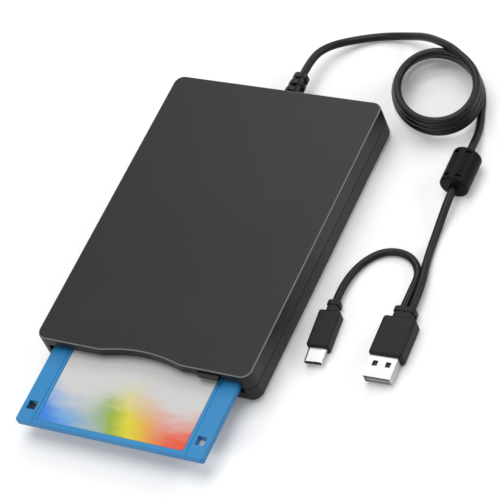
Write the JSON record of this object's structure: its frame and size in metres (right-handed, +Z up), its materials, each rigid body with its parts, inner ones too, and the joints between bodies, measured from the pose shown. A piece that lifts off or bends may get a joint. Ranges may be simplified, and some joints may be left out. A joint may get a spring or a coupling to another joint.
{
  "type": "external floppy disk drive",
  "caption": "Slim portable 3.5 inch floppy drive with a disk half in its slot, eject button, and a coiled lead with a ferrite bead and two plugs.",
  "frame": {"origin": "middle of the case and the disk in it, on the surface that the feet stand on", "axes": "+Z up, front with the disk slot at -Y, +X to the right seen from the front"},
  "size_m": [0.1555, 0.2345, 0.0188],
  "materials": {
    "case_plastic": "fine matt moulded black plastic",
    "button_plastic": "satin black plastic",
    "foot_rubber": "soft black rubber",
    "screw_steel": "zinc plated steel",
    "sheet_steel": "galvanised sheet steel",
    "ground_steel": "ground steel",
    "jacket_blue": "fine grained blue plastic",
    "tab_black": "matt black plastic",
    "media_film": "dark brown coated film",
    "label_paper": "printed paper label",
    "board_green": "solder mask",
    "copper_winding": "enamelled copper",
    "bronze": "sintered bronze",
    "frame_plastic": "glass filled plastic",
    "cord_rubber": "satin black cord jacket",
    "bead_plastic": "satin black plastic",
    "ferrite": "sintered ferrite",
    "plug_rubber": "satin black moulding",
    "plug_shell": "nickel plate",
    "tongue_white": "white plastic",
    "tongue_black": "black plastic"
  },
  "bodies": {
    "root": {"top_cover": "case_plastic", "bottom_cover": "case_plastic", "feet": "foot_rubber", "case_screws": "screw_steel", "chassis": "sheet_steel", "motor_board": "board_green", "stator": "copper_winding", "spindle_bearing": "bronze", "guide_rod": "ground_steel", "rod_brackets": "sheet_steel", "stepper_motor": "ground_steel", "screw_bearing": "bronze", "main_board": "board_green", "usb_board": "board_green", "ribbon_cable": "label_paper", "strain_relief": "cord_rubber", "cord_lead": "cord_rubber", "cord_coil": "cord_rubber", "cord_drop": "cord_rubber", "cord_tail": "cord_rubber", "bead_case_upper": "bead_plastic", "bead_case_lower": "bead_plastic", "bead_core": "ferrite", "usb_a_overmold": "plug_rubber", "usb_a_shell": "plug_shell", "usb_a_tongue": "tongue_white", "usb_c_overmold": "plug_rubber", "usb_c_shell": "plug_shell", "usb_c_tongue": "tongue_black"},
    "loader": {"slide_plate": "sheet_steel", "eject_button": "button_plastic"},
    "carrier": {"disk_carrier": "sheet_steel"},
    "ejector": {"ejector_slider": "frame_plastic"},
    "disk": {"disk_upper_shell": "jacket_blue", "disk_lower_shell": "jacket_blue", "disk_label": "label_paper"},
    "shutter": {"disk_shutter": "sheet_steel"},
    "protect_tab": {"write_protect_tab": "tab_black"},
    "media": {"disk_media": "media_film", "disk_hub": "ground_steel"},
    "rotor": {"spindle_rotor": "ground_steel"},
    "carriage": {"head_carriage": "frame_plastic", "lower_head": "ferrite"},
    "upper_head_arm": {"upper_arm": "sheet_steel", "upper_head": "ferrite"},
    "screw": {"lead_screw": "ground_steel"}
  },
  "joints": [
    {"name": "eject_slide", "type": "slide", "parent": "root", "child": "loader", "axis": [0, -1, 0], "range_m": [0, 0.0045]},
    {"name": "carrier_drop", "type": "slide", "parent": "root", "child": "carrier", "axis": [0, 0, -1], "range_m": [0, 0.0016]},
    {"name": "disk_insert", "type": "slide", "parent": "carrier", "child": "ejector", "axis": [0, 1, 0], "range_m": [0, 0.038]},
    {"name": "disk_withdraw", "type": "slide", "parent": "ejector", "child": "disk", "axis": [0, -1, 0], "range_m": [0, 0.06]},
    {"name": "shutter_slide", "type": "slide", "parent": "disk", "child": "shutter", "axis": [-1, 0, 0], "range_m": [0, 0.02]},
    {"name": "protect_tab_slide", "type": "slide", "parent": "disk", "child": "protect_tab", "axis": [0, 1, 0], "range_m": [0, 0.0045]},
    {"name": "media_spin", "type": "hinge", "parent": "disk", "child": "media", "pos_m": [0, -0.0429, 0.0107], "axis": [0, 0, 1], "continuous": true},
    {"name": "spindle_spin", "type": "hinge", "parent": "root", "child": "rotor", "pos_m": [0, -0.0049, 0.006], "axis": [0, 0, 1], "continuous": true},
    {"name": "head_travel", "type": "slide", "parent": "root", "child": "carriage", "axis": [0, -1, 0], "range_m": [0, 0.015]},
    {"name": "head_lower", "type": "hinge", "parent": "carriage", "child": "upper_head_arm", "pos_m": [0, 0.0688, 0.0148], "axis": [1, 0, 0], "range_deg": [0, 5.2]},
    {"name": "screw_turn", "type": "hinge", "parent": "root", "child": "screw", "pos_m": [0.016, 0.06, 0.0093], "axis": [0, 1, 0], "range_deg": [0, 1440]}
  ],
  "couplings": [
    {"joint": "carrier_drop", "follows": "eject_slide", "ratio": 0.35552},
    {"joint": "head_lower", "follows": "eject_slide", "rad_per_m": 20},
    {"joint": "shutter_slide", "follows": "disk_insert", "ratio": 0.52626},
    {"joint": "screw_turn", "follows": "head_travel", "rad_per_m": 1675.3}
  ]
}
